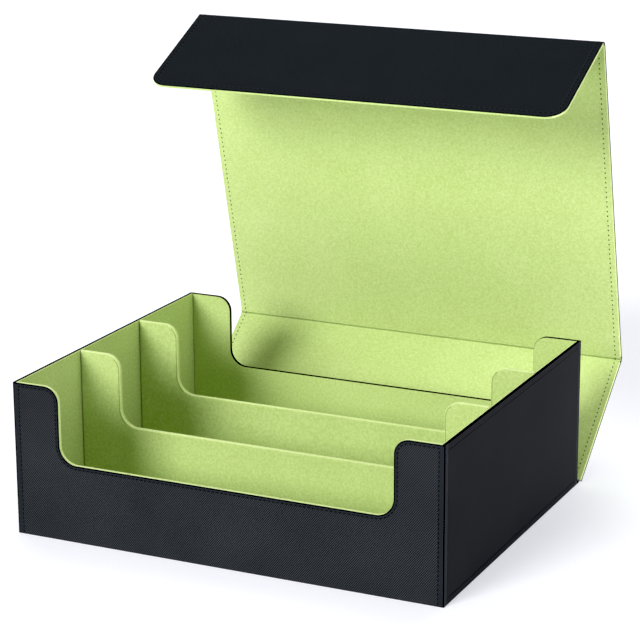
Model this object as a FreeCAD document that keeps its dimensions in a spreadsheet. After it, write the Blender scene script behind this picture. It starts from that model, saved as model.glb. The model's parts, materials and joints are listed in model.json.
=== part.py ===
import FreeCAD, Part

# Flip-lid storage box for trading cards: a three-lane tray and a wrap-over cover in three
# hinged panels. Millimetres. +X runs right along the front, +Y to the rear, +Z up, and the
# origin is the middle of the tray's underside. The cover is drawn open.
import os
import re

import Sketcher

SIZES = [
    # the tray
    ("tray_width", 320.0, "outside width of the tray, along X"),
    ("tray_depth", 256.0, "outside depth of the tray, along Y"),
    ("tray_height", 110.0, "outside height of the tray"),
    ("wall_board", 2.0, "thickness of the wall boards"),
    ("floor_board", 2.0, "thickness of the floor board"),
    ("divider_board", 3.0, "thickness of the two divider boards"),
    ("leather", 0.5, "thickness of the outer leather"),
    ("suede", 0.5, "thickness of the suede lining"),
    ("post_width", 35.5, "width of the full-height posts at both ends of a cut-out wall"),
    ("low_edge", 56.0, "height of the cut-out edge of the front and back walls"),
    ("divider_low_edge", 57.5, "height of the cut-out edge of the dividers"),
    ("post_radius", 11.0, "rounding at the top of each post"),
    ("cutout_radius", 13.0, "rounding at the foot of each post"),
    ("edge_turn", 4.5, "width of leather turned onto the side walls"),
    ("patch_gap", 0.4, "groove between the turned leather and the side patch"),
    ("side_rim", 1.5, "width of leather seen on top of a side wall"),
    # the magnets
    ("magnet_diameter", 10.0, "diameter of a magnet"),
    ("magnet_fit", 0.1, "radial clearance round a magnet in its pocket"),
    ("tray_magnet", 1.5, "thickness of a magnet in the front wall"),
    ("flap_magnet", 1.0, "thickness of a magnet in the flap"),
    ("magnet_pitch", 90.0, "distance between magnets in a row"),
    ("magnet_height", 38.0, "height of the row of magnets above the table"),
    # the cover
    ("cover_width", 324.0, "width of the cover, along X"),
    ("cover_board", 1.5, "thickness of the cover boards"),
    ("cover_rim", 1.0, "width of suede wrapped round the edge of a cover board"),
    ("closing_gap", 0.5, "clearance between the closed cover and the tray"),
    ("flap_length", 95.5, "length of the flap from its fold to its free edge"),
    ("flap_radius", 18.0, "rounding of the free corners of the flap"),
    ("hinge_setback", 1.5, "distance from the lower hinge line to the back panel"),
    ("top_setback", 3.2, "distance from the top fold line to the panels beside it"),
    ("flap_setback", 4.0, "distance from the flap's fold line to the panels beside it"),
    # how far the cover stands open
    ("back_rise", 38.6, "angle of the back panel above the table"),
    ("top_turn", 65.2, "turn from the back panel to the top panel"),
    ("flap_turn", 101.7, "turn from the top panel to the flap"),
]

DERIVED = [
    # half sizes, and the faces between the layers of the tray
    ("side_face", "tray_width / 2", "outer face of a side wall"),
    ("end_face", "tray_depth / 2", "outer face of the front or back wall"),
    ("side_board_out", "side_face - leather", "outer face of a side board"),
    ("side_board_in", "side_board_out - wall_board", "inner face of a side board"),
    ("side_inside", "side_board_in - suede", "inner face of a side lining"),
    ("end_board_out", "end_face - leather", "outer face of a front or back board"),
    ("end_board_in", "end_board_out - wall_board", "inner face of a front or back board"),
    ("end_inside", "end_board_in - suede", "inner face of a front or back lining"),
    ("floor_board_top", "leather + floor_board", "top of the floor board"),
    ("floor_top", "floor_board_top + suede", "top of the floor lining"),
    ("board_top", "tray_height - suede", "top of a board under its wrapped edge"),
    ("cutout_half", "side_face - post_width", "half the width of the cut-outs"),
    # the lanes
    ("divider_thick", "divider_board + 2 * suede", "thickness of a lined divider"),
    ("lane", "(2 * end_inside - 2 * divider_thick) / 3", "width of one lane"),
    ("divider_place", "(lane + divider_thick) / 2", "distance of a divider from the middle"),
    # the cover's layers, measured from its fold lines in the middle of the leather
    ("leather_half", "leather / 2", "half the thickness of the leather"),
    ("board_inner", "leather_half + cover_board", "inner face of a cover board"),
    ("panel_inner", "board_inner + suede", "inner face of a cover panel"),
    ("hinge_y", "end_face + closing_gap + panel_inner", "place of the lower hinge line"),
    ("back_run", "tray_height + closing_gap + panel_inner - leather_half",
     "length of the back panel between its fold lines"),
    ("top_run", "2 * hinge_y", "length of the top panel between its fold lines"),
    ("top_angle", "back_rise + top_turn", "direction of the top panel"),
    ("flap_angle", "top_angle + flap_turn", "direction of the flap"),
    ("top_fold_y", "hinge_y + back_run * cos(back_rise)", "place of the top fold line"),
    ("top_fold_z", "leather_half + back_run * sin(back_rise)", "height of the top fold line"),
    ("flap_fold_y", "top_fold_y + top_run * cos(top_angle)", "place of the flap's fold line"),
    ("flap_fold_z", "top_fold_z + top_run * sin(top_angle)", "height of the flap's fold line"),
    ("magnet_run", "back_run + leather_half - magnet_height",
     "distance of the flap's magnets from its fold line"),
    ("pocket_radius", "magnet_diameter / 2 + magnet_fit", "radius of a magnet's pocket"),
]

MAGNETS_IN_A_ROW = 4
ALIASES = {row[0] for row in SIZES + DERIVED}

doc = FreeCAD.newDocument("card_box")
sheet = doc.addObject("Spreadsheet::Sheet", "Sizes")
nodes = []


def bound(text):
    """An expression in which each named size is looked up in the sheet."""
    return re.sub(r"[a-z_]+", lambda word: lookup(word.group()), text)


def lookup(word):
    return "Sizes." + word if word in ALIASES else word


def value(text):
    """The present value of an expression, for a sketch's first guess."""
    return float(sheet.evalExpression(bound(text)))


def fill_sheet():
    """Writes the driving sizes, then the sizes worked out from them."""
    for row, (name, size, meaning) in enumerate(SIZES, start=1):
        sheet.set(f"A{row}", name)
        sheet.set(f"B{row}", str(size))
        sheet.setAlias(f"B{row}", name)
        sheet.set(f"C{row}", meaning)
    for row, (name, formula, meaning) in enumerate(DERIVED, start=len(SIZES) + 2):
        sheet.set(f"A{row}", name)
        sheet.set(f"B{row}", "=" + formula)
        sheet.setAlias(f"B{row}", name)
        sheet.set(f"C{row}", meaning)
    doc.recompute()


def node(item, label):
    """Names an object as one of the pieces that are written out."""
    item.Label = label
    nodes.append(item)
    return item


def place(item, x="0", y="0", z="0", tilt="0"):
    """Binds an object's place, and its turn about the X axis, to the sheet."""
    corner = f"create(<<vector>>; {bound(x)}; {bound(y)}; {bound(z)})"
    turn = f"create(<<rotation>>; create(<<vector>>; 1; 0; 0); {bound(tilt)})"
    item.setExpression("Placement", f"create(<<placement>>; {corner}; {turn})")


def block(label, low, high):
    """A rectangular piece between two corners, each three expressions."""
    item = doc.addObject("Part::Box", label)
    for name, near, far in zip(("Length", "Width", "Height"), low, high):
        item.setExpression(name, bound(f"({far}) - ({near})"))
    place(item, *low)
    return node(item, label)


def body(label):
    return node(doc.addObject("PartDesign::Body", label), label)


def sketch_on(solid, plane, offset="0"):
    """A sketch on one of the body's own origin planes, moved along the plane's normal."""
    sketch = solid.newObject("Sketcher::SketchObject", solid.Name + "_sketch")
    base = next(item for item in solid.Origin.OriginFeatures if item.Role == plane)
    sketch.AttachmentSupport = [(base, "")]
    sketch.MapMode = "FlatFace"
    sketch.setExpression("AttachmentOffset.Base.z", bound(offset))
    return sketch


def outline(sketch, sides):
    """Draws a closed outline of level and upright sides, each (direction, place, rounding).

    A side in direction "u" is upright at that horizontal place, and one in direction "l" is
    level at that vertical place. The rounding is the radius of the corner after the side.
    """
    count = len(sides)
    spots = []
    for index, (kind, where, _) in enumerate(sides):
        after = sides[(index + 1) % count][1]
        pair = (where, after) if kind == "u" else (after, where)
        spots.append(FreeCAD.Vector(value(pair[0]), value(pair[1]), 0))
    lines = []
    arcs = {}
    for index in range(count):
        before, here = spots[index - 1], spots[index]
        along = (here - before).normalize()
        start = before + along * radius_of(sides[index - 1])
        end = here - along * radius_of(sides[index])
        lines.append(sketch.addGeometry(Part.LineSegment(start, end)))
    for index, side in enumerate(sides):
        if side[2] is None:
            continue
        first = sketch.Geometry[lines[index]]
        second = sketch.Geometry[lines[(index + 1) % count]]
        arcs[index] = sketch.addGeometry(rounded(first, spots[index], second))
    for index, side in enumerate(sides):
        join(sketch, lines, arcs.get(index), index, side)
    for index, (kind, where, _) in enumerate(sides):
        fix_line(sketch, lines[index], kind, where)


def radius_of(side):
    return 0.0 if side[2] is None else value(side[2])


def rounded(first, corner, second):
    """The arc that rounds a corner between the ends of two lines."""
    centre = first.EndPoint + second.StartPoint - corner
    middle = corner - centre
    radius = (first.EndPoint - centre).Length
    return Part.Arc(first.EndPoint, centre + middle.normalize() * radius, second.StartPoint)


def join(sketch, lines, arc, index, side):
    """Joins a side to the next one, at a sharp corner or through a rounding."""
    this = lines[index]
    following = lines[(index + 1) % len(lines)]
    if arc is None:
        sketch.addConstraint(Sketcher.Constraint("Coincident", this, 2, following, 1))
        return
    starts = sketch.getPoint(arc, 1).isEqual(sketch.getPoint(this, 2), 1e-4)
    near, far = (1, 2) if starts else (2, 1)
    sketch.addConstraint(Sketcher.Constraint("Tangent", this, 2, arc, near))
    sketch.addConstraint(Sketcher.Constraint("Tangent", following, 1, arc, far))
    radius = sketch.addConstraint(Sketcher.Constraint("Radius", arc, value(side[2])))
    sketch.setExpression(f"Constraints[{radius}]", bound(side[2]))


def fix_line(sketch, line, kind, where):
    """Holds a line level or upright at its place."""
    level = "Vertical" if kind == "u" else "Horizontal"
    across = "DistanceX" if kind == "u" else "DistanceY"
    sketch.addConstraint(Sketcher.Constraint(level, line))
    spot = sketch.addConstraint(Sketcher.Constraint(across, -1, 1, line, 1, value(where)))
    sketch.setExpression(f"Constraints[{spot}]", bound(where))


def circles(sketch, rows):
    """Draws a circle for each (horizontal place, vertical place, radius)."""
    for across, up, radius in rows:
        centre = FreeCAD.Vector(value(across), value(up), 0)
        ring = sketch.addGeometry(Part.Circle(centre, FreeCAD.Vector(0, 0, 1), value(radius)))
        for kind, place_text in (("DistanceX", across), ("DistanceY", up)):
            spot = sketch.addConstraint(
                Sketcher.Constraint(kind, -1, 1, ring, 3, value(place_text)))
            sketch.setExpression(f"Constraints[{spot}]", bound(place_text))
        size = sketch.addConstraint(Sketcher.Constraint("Radius", ring, value(radius)))
        sketch.setExpression(f"Constraints[{size}]", bound(radius))


def pad(solid, sketch, thickness, back=False):
    """Adds material along the sketch's normal, or against it."""
    feature = solid.newObject("PartDesign::Pad", solid.Name + "_pad")
    feature.Profile = sketch
    feature.Reversed = back
    feature.setExpression("Length", bound(thickness))
    doc.recompute()
    return feature


def pocket(solid, sketch, depth, back=False):
    """Cuts material against the sketch's normal, or along it, and checks that it did."""
    before = solid.Shape.Volume
    feature = solid.newObject("PartDesign::Pocket", solid.Name + "_pocket")
    feature.Profile = sketch
    feature.Reversed = back
    feature.setExpression("Length", bound(depth))
    doc.recompute()
    if not solid.Shape.Volume < before:
        raise ValueError(f"{solid.Label}: the pocket removes nothing")
    return feature


def rectangle(sketch, left, right, low, high):
    outline(sketch, [("l", low, None), ("u", right, None), ("l", high, None), ("u", left, None)])


def notched(sketch, half, low, high, edge, trim="0"):
    """A wall's outline: two posts and a cut-out, drawn back by trim where its edge is wrapped."""
    post = f"cutout_half + {trim}"
    outer = f"post_radius - {trim}"
    inner = f"cutout_radius + {trim}"
    outline(sketch, [
        ("l", low, None),
        ("u", half, None),
        ("l", f"{high} - {trim}", outer),
        ("u", post, inner),
        ("l", f"{edge} - {trim}", inner),
        ("u", f"-({post})", outer),
        ("l", f"{high} - {trim}", None),
        ("u", f"-({half})", None),
    ])


# ---------------------------------------------------------------- the tray

# A sketch on XZ faces -Y, so a pad from it grows towards the front unless it is reversed.


def wall_sheet(solid, half, low, edge, inner_y, thickness, trim="0", cut=False):
    """Adds, or cuts, a notched sheet that grows from inner_y towards the front."""
    sketch = sketch_on(solid, "XZ_Plane", f"-({inner_y})")
    notched(sketch, half, low, "tray_height", edge, trim)
    return pocket(solid, sketch, thickness, back=True) if cut else pad(solid, sketch, thickness)


def magnet_places(height):
    middle = (MAGNETS_IN_A_ROW - 1) / 2
    return [(f"magnet_pitch * {index - middle}", height) for index in range(MAGNETS_IN_A_ROW)]


def magnet_pockets(solid, plane, offset, height, depth, back):
    sketch = sketch_on(solid, plane, offset)
    circles(sketch, [(across, up, "pocket_radius") for across, up in magnet_places(height)])
    return pocket(solid, sketch, depth, back)


def magnet_row(label, thickness, spots, tilt):
    """A row of disc magnets, each at (x, y, z), facing along the tilted Z axis."""
    discs = []
    for index, spot in enumerate(spots):
        disc = doc.addObject("Part::Cylinder", f"{label}_{index + 1}")
        disc.setExpression("Radius", bound("magnet_diameter / 2"))
        disc.setExpression("Height", bound(thickness))
        place(disc, *spot, tilt)
        discs.append(disc)
    row = doc.addObject("Part::Compound", label)
    row.Links = discs
    return node(row, label)


def side_turns(solid, near, far, low, high):
    """Adds the leather that is turned onto both side walls, between two places along Y."""
    for left, right in (("side_board_out", "side_face"), ("-side_face", "-side_board_out")):
        sketch = sketch_on(solid, "XY_Plane", low)
        rectangle(sketch, left, right, near, far)
        pad(solid, sketch, f"({high}) - ({low})")


def build_base():
    base = body("base_skin")
    sketch = sketch_on(base, "XY_Plane")
    rectangle(sketch, "-side_face", "side_face", "-end_face", "hinge_y - hinge_setback")
    pad(base, sketch, "leather")
    turn = "end_board_out - edge_turn"
    side_turns(base, f"-({turn})", turn, "leather", "edge_turn")
    block("floor_board", ("-side_board_out", "-end_board_out", "leather"),
          ("side_board_out", "end_board_out", "floor_board_top"))
    block("floor_lining", ("-side_board_in", "-end_board_in", "floor_board_top"),
          ("side_board_in", "end_board_in", "floor_top"))


def build_front_wall():
    board = body("front_board")
    wall_sheet(board, "side_board_out", "floor_board_top", "low_edge",
               "-end_board_in", "wall_board", trim="suede")
    magnet_pockets(board, "XZ_Plane", "end_board_out", "magnet_height", "tray_magnet", False)
    skin = body("front_skin")
    wall_sheet(skin, "side_face", "leather", "low_edge", "-end_board_out", "leather")
    side_turns(skin, "-end_board_out", "-(end_board_out - edge_turn)", "leather", "tray_height")
    lining = body("front_lining")
    wall_sheet(lining, "side_board_out", "floor_board_top", "low_edge",
               "-end_board_in", "wall_board")
    wall_sheet(lining, "side_board_out", "floor_board_top", "low_edge",
               "-end_board_in", "wall_board", trim="suede", cut=True)
    wall_sheet(lining, "side_board_in", "floor_top", "low_edge", "-end_inside", "suede")


def build_back_wall():
    board = body("back_board")
    wall_sheet(board, "side_board_out", "floor_board_top", "low_edge",
               "end_board_out", "wall_board", trim="suede")
    skin = body("back_skin")
    wall_sheet(skin, "side_face", "leather", "low_edge", "end_face", "leather + wall_board")
    wall_sheet(skin, "side_face", "leather", "low_edge",
               "end_board_out", "wall_board", trim="suede", cut=True)
    side_turns(skin, "end_board_out - edge_turn", "end_board_out", "leather", "tray_height")
    lining = body("back_lining")
    wall_sheet(lining, "side_board_in", "floor_top", "low_edge", "end_board_in", "suede")


def build_side_wall(name, sign):
    """A side wall: its board, the patch and the rim of leather outside, and its lining."""
    def across(low, high):
        return (low, high) if sign > 0 else (f"-({high})", f"-({low})")

    def slab(solid, near, far, low, high, half):
        sketch = sketch_on(solid, "XY_Plane", low)
        rectangle(sketch, *across(near, far), f"-({half})", half)
        pad(solid, sketch, f"({high}) - ({low})")

    def wall(label, near, far, half, low, high):
        left, right = across(near, far)
        block(label, (left, f"-({half})", low), (right, half, high))

    wall(f"{name}_board", "side_board_in", "side_board_out",
         "end_board_in", "floor_board_top", "board_top")
    turn = "edge_turn + patch_gap"
    wall(f"{name}_side_skin", "side_board_out", "side_face",
         f"end_board_out - ({turn})", turn, f"tray_height - ({turn})")
    rim = body(f"{name}_top_binding")
    slab(rim, "side_board_out", "side_face", "tray_height - edge_turn", "tray_height",
         "end_board_out - edge_turn")
    slab(rim, "side_face - side_rim", "side_board_out", "board_top", "tray_height",
         "end_board_in")
    lining = body(f"{name}_lining")
    slab(lining, "side_inside", "side_board_in", "floor_top", "tray_height", "end_inside")
    slab(lining, "side_board_in", "side_face - side_rim", "board_top", "tray_height",
         "end_inside")


def build_divider(name, middle):
    """A divider: its board, and two linings that meet in the middle of its edge."""
    front = f"{middle} - divider_board / 2"
    rear = f"{middle} + divider_board / 2"
    board_half = "side_inside - suede"
    board = body(f"{name}_divider_board")
    wall_sheet(board, board_half, "floor_top", "divider_low_edge",
               rear, "divider_board", trim="suede")
    for face, start, sheet_at in (("front", middle, front), ("rear", rear, f"{rear} + suede")):
        lining = body(f"{name}_divider_{face}_lining")
        wall_sheet(lining, "side_inside", "floor_top", "divider_low_edge",
                   start, "divider_board / 2")
        wall_sheet(lining, board_half, "floor_top", "divider_low_edge",
                   start, "divider_board / 2", trim="suede", cut=True)
        wall_sheet(lining, "side_inside", "floor_top", "divider_low_edge", sheet_at, "suede")


def build_tray():
    build_base()
    build_front_wall()
    build_back_wall()
    build_side_wall("left", -1)
    build_side_wall("right", 1)
    build_divider("front", "-divider_place")
    build_divider("rear", "divider_place")
    spots = [(across, "-(end_board_out - tray_magnet)", up)
             for across, up in magnet_places("magnet_height")]
    magnet_row("tray_magnets", "tray_magnet", spots, "90")


# --------------------------------------------------------------- the cover

# A panel is drawn flat: X along its width, Y away from the fold line that carries it, and Z
# from the fold line towards its inner face. Its body is then turned and moved into place.


def panel_outline(sketch, start, end, trim, corner, end_trim):
    half = f"cover_width / 2 - {trim}"
    outline(sketch, [
        ("l", start, None),
        ("u", half, corner),
        ("l", f"{end} - {end_trim}", corner),
        ("u", f"-({half})", None),
    ])


def build_panel(name, start, end, spot, corner=None, magnets=False):
    """A cover panel: leather outside, a board, and suede wrapped round its free edges."""
    free = corner is not None
    inner_corner = f"{corner} - cover_rim" if free else None
    end_trim = "cover_rim" if free else "0"

    def layer(label, low, high, trim="0", ends="0", radius=corner):
        solid = body(label)
        sketch = sketch_on(solid, "XY_Plane", low)
        panel_outline(sketch, start, end, trim, radius, ends)
        pad(solid, sketch, f"({high}) - ({low})")
        place(solid, "0", *spot)
        return solid

    layer(f"{name}_skin", "-leather_half", "leather_half")
    board = layer(f"{name}_board", "leather_half", "board_inner", "cover_rim", end_trim,
                  inner_corner)
    if magnets:
        magnet_pockets(board, "XY_Plane", "board_inner", "magnet_run", "flap_magnet", False)
    lining = layer(f"{name}_lining", "leather_half", "panel_inner")
    hollow = sketch_on(lining, "XY_Plane", "leather_half")
    panel_outline(hollow, start, end, "cover_rim", inner_corner, end_trim)
    pocket(lining, hollow, "cover_board", back=True)


def fold_band(label, spot, setback, incoming, turn, near, far):
    """A strip bent round a fold, between two distances from the fold line at its start."""
    bend = f"({setback}) / tan(({turn}) / 2)"
    y, z = spot
    centre_y = f"{y} - {setback} * cos({incoming}) - {bend} * sin({incoming})"
    centre_z = f"{z} - {setback} * sin({incoming}) + {bend} * cos({incoming})"
    corner = f"create(<<vector>>; -cover_width / 2; {centre_y}; {centre_z})"
    tilt = f"create(<<rotation>>; create(<<vector>>; 1; 0; 0); ({incoming}) - 90)"
    upright = "create(<<rotation>>; create(<<vector>>; 1; 1; 1); 120)"
    where = f"create(<<placement>>; {corner}; {tilt} * {upright})"
    rounds = []
    for part, depth in (("outside", near), ("inside", far)):
        drum = doc.addObject("Part::Cylinder", f"{label}_{part}")
        drum.setExpression("Radius", bound(f"{bend} - ({depth})"))
        drum.setExpression("Height", bound("cover_width"))
        drum.setExpression("Angle", bound(turn))
        drum.setExpression("Placement", bound(where))
        rounds.append(drum)
    band = doc.addObject("Part::Cut", label)
    band.Base, band.Tool = rounds
    return node(band, label)


def build_fold(name, spot, setback, incoming, turn):
    """The leather and the suede that bend round one of the cover's upper folds."""
    fold_band(f"{name}_skin", spot, setback, incoming, turn, "-leather_half", "leather_half")
    fold_band(f"{name}_lining", spot, setback, incoming, turn, "board_inner", "panel_inner")


def build_cover():
    hinge = ("hinge_y", "leather_half")
    top_fold = ("top_fold_y", "top_fold_z")
    flap_fold = ("flap_fold_y", "flap_fold_z")
    fold_band("hinge_skin", hinge, "hinge_setback", "0", "back_rise",
              "-leather_half", "leather_half")
    build_panel("back_panel", "hinge_setback", "back_run - top_setback", (*hinge, "back_rise"))
    build_fold("top_fold", top_fold, "top_setback", "back_rise", "top_turn")
    build_panel("top_panel", "top_setback", "top_run - flap_setback", (*top_fold, "top_angle"))
    build_fold("flap_fold", flap_fold, "flap_setback", "top_angle", "flap_turn")
    build_panel("flap", "flap_setback", "flap_length", (*flap_fold, "flap_angle"),
                "flap_radius", magnets=True)
    depth = "(board_inner - flap_magnet)"
    spots = [(across,
              f"flap_fold_y + magnet_run * cos(flap_angle) - {depth} * sin(flap_angle)",
              f"flap_fold_z + magnet_run * sin(flap_angle) + {depth} * cos(flap_angle)")
             for across, _ in magnet_places("magnet_run")]
    magnet_row("flap_magnets", "flap_magnet", spots, "flap_angle")


def check_and_write():
    """Stops if any object or piece is faulty, then writes one STEP file for each piece."""
    doc.recompute()
    for item in doc.Objects:
        faults = {"Invalid", "Error"} & set(item.State)
        if faults:
            raise ValueError(f"{item.Label}: {sorted(faults)}")
    for item in nodes:
        if item.Shape.isNull() or not item.Shape.isValid() or not item.Shape.Solids:
            raise ValueError(f"{item.Label}: no valid solid")
    os.makedirs("parts", exist_ok=True)
    for item in nodes:
        item.Shape.exportStep(f"parts/{item.Label}.step")
        print(f"{item.Label:32} {len(item.Shape.Solids)} solids {item.Shape.Volume:12.1f} mm3")


fill_sheet()
build_tray()
build_cover()
check_and_write()
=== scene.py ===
"""Looks of a flip-lid card box: twill leather outside, suede inside, seams, and a small studio.

Metres. Every finished piece has its place in its mesh; most ride on a body of the frame, but the
top panel's layers and the folds with their stitches stay fixed where they are built.
"""

import json
import math

import bpy
from bpy.props import FloatProperty, FloatVectorProperty, PointerProperty
from mathutils import Matrix, Vector


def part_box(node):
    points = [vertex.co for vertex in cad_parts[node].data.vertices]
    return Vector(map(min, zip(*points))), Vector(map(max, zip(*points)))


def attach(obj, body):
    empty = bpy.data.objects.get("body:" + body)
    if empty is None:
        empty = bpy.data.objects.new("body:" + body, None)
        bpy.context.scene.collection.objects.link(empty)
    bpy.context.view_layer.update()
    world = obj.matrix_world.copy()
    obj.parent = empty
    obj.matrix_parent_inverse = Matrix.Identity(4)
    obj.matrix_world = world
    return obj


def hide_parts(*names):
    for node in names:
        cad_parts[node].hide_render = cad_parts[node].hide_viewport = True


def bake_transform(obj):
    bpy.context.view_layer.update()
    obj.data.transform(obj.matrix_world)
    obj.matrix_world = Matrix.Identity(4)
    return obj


bl_info = {
    "name": "Card box",
    "version": (1, 0, 0),
    "blender": (4, 5, 0),
    "location": "View3D > Sidebar > Card box",
    "description": "Builds the leather, lining and seams of a flip-lid card box round its frame",
    "category": "Add Mesh",
}

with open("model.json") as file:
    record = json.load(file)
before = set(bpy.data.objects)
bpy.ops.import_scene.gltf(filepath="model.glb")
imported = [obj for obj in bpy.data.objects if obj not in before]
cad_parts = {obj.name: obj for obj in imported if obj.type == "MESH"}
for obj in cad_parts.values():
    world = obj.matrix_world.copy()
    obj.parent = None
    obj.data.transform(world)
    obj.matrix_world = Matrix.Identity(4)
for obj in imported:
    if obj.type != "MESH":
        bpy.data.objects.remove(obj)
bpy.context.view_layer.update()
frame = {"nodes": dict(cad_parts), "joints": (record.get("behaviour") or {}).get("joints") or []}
joint_places = {joint["name"]: Vector(joint["pos_m"]) for joint in frame["joints"]}

MM = 0.001
CLOSE = 0.02 * MM  # places nearer than this are the same
BEYOND = 5 * MM  # how far a cutting block reaches past the piece that it cuts
HOLLOW = 2 * MM  # the same, where a longer block would come out at the leather's turned end
OVERRUN = 12 * MM  # how far a panel is built past its ends, before it is cut off there
FACING = 0.99  # a face that looks straight along an axis
MOSTLY = 0.9  # a face that looks more along an axis than a rounding does
BROAD = 0.005  # area of a panel's or a wall's main face, and more
NARROW = 0.001  # area of a fold or an edge, and less
SHARP = math.radians(35)  # edges that turn more are kept sharp, or rounded

# The tray's layers, read from the frame: half sizes along X and Y, and heights.
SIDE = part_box("front_skin")[1].x
END = -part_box("front_skin")[0].y
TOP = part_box("front_skin")[1].z
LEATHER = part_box("floor_board")[0].z
SIDE_BOARD_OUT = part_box("right_board")[1].x
SIDE_BOARD_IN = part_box("right_board")[0].x
SIDE_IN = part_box("right_lining")[0].x
END_BOARD_OUT = -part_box("front_board")[0].y
END_BOARD_IN = -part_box("front_board")[1].y
END_IN = -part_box("front_lining")[1].y
FLOOR_BOARD_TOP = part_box("floor_board")[1].z
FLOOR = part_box("floor_lining")[1].z
SUEDE = SIDE_BOARD_IN - SIDE_IN
PATCH_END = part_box("right_side_skin")[1].y
PATCH_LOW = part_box("right_side_skin")[0].z
PATCH_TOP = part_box("right_side_skin")[1].z
TURN_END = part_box("base_skin")[1].z
RIM_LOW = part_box("right_top_binding")[0].z
RIM_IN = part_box("right_top_binding")[0].x
BASE_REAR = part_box("base_skin")[1].y
WRAP_END = PATCH_END + 0.4 * MM  # where the end walls' leather stops on a side wall

# The cover's fold lines, seen from the side, and the directions of its panels.
HINGE = joint_places["cover_hinge"]
TOP_FOLD = joint_places["top_fold"]
FLAP_FOLD = joint_places["flap_swing"]
BACK_ANGLE = math.atan2(TOP_FOLD.z - HINGE.z, TOP_FOLD.y - HINGE.y)
TOP_ANGLE = math.atan2(FLAP_FOLD.z - TOP_FOLD.z, FLAP_FOLD.y - TOP_FOLD.y)
BACK_RUN = (TOP_FOLD - HINGE).length
TOP_RUN = (FLAP_FOLD - TOP_FOLD).length
COVER_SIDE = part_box("top_panel_skin")[1].x


# ------------------------------------------------------------------- settings


def number(name, description, default, **kind):
    return FloatProperty(name=name, description=description, default=default, **kind)


def length(name, description, default):
    return number(name, description, default, unit="LENGTH", precision=4)


def angle(name, description, degrees):
    return number(name, description, math.radians(degrees), unit="ROTATION")


def spot(name, description, default):
    return FloatVectorProperty(name=name, description=description, default=default,
                               unit="LENGTH")


def colour(name, description, default):
    return FloatVectorProperty(name=name, description=description, default=default,
                               subtype="COLOR", min=0.0, max=1.0)


class TraySettings(bpy.types.PropertyGroup):
    """Sizes of the tray's outlines and hems"""
    low_edge: length("Cut-out edge", "Height of the front and back cut-outs", 0.056)
    divider_low_edge: length("Divider edge", "Height of the dividers' cut-outs", 0.0575)
    post_width: length("Post width", "Width of the full-height posts", 0.0355)
    post_radius: length("Post rounding", "Rounding at the top of a post", 0.011)
    cutout_radius: length("Cut-out rounding", "Rounding at the foot of a post", 0.013)
    divider_round: length("Divider edge rounding", "Softness of a divider's edge", 0.0013)
    divider_seam: length("Divider seam", "Softness where a divider's halves meet", 0.00035)
    rim: length("Rim", "Width of the black fold along a leather edge", 0.0006)
    hem: length("Hem", "Width of the band between that fold and its seam", 0.0009)
    corner_fold: length("Corner fold", "How much wider that band is at a corner", 0.0019)
    softness: length("Softness", "Rounding of the front leather's edges", 0.0003)
    leather_round: length("Leather rounding", "Rounding of thin leather edges", 0.0002)
    suede_round: length("Suede rounding", "Rounding of thin suede edges", 0.00015)
    base_round: length("Base rounding", "Rounding of the tray's lower edges", 0.00035)
    patch_spread: length("Patch spread", "Side leather beyond the frame's patch", 0.00035)
    patch_round: length("Patch rounding", "Rounding round the side leather", 0.00042)
    seam_width: length("Seam groove", "Width of the groove that a seam pulls in", 0.0014)
    seam_depth: length("Seam depth", "Depth of the groove that a seam pulls in", 0.0003)
    end_gap: length("End gap", "Gap at the dividers' and side linings' ends", 0.0005)
    end_round: length("End rounding", "Softness of a lining's upright end", 0.0004)
    rim_spread: length("Rim spread", "Leather past the frame's rim on a side wall", 0.0009)
    back_drop: length("Back lining drop", "Rim of the back leather above its lining", 0.0003)
    stitch_pitch: length("Stitch pitch", "Distance from stitch to stitch", 0.0032)
    stitch_length: length("Stitch length", "Length of thread seen in a stitch", 0.0022)
    thread: length("Thread", "Thickness of the thread", 0.0005)
    thread_spread: number("Thread spread", "Width of a pulled thread over its thickness", 2.8)


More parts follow.
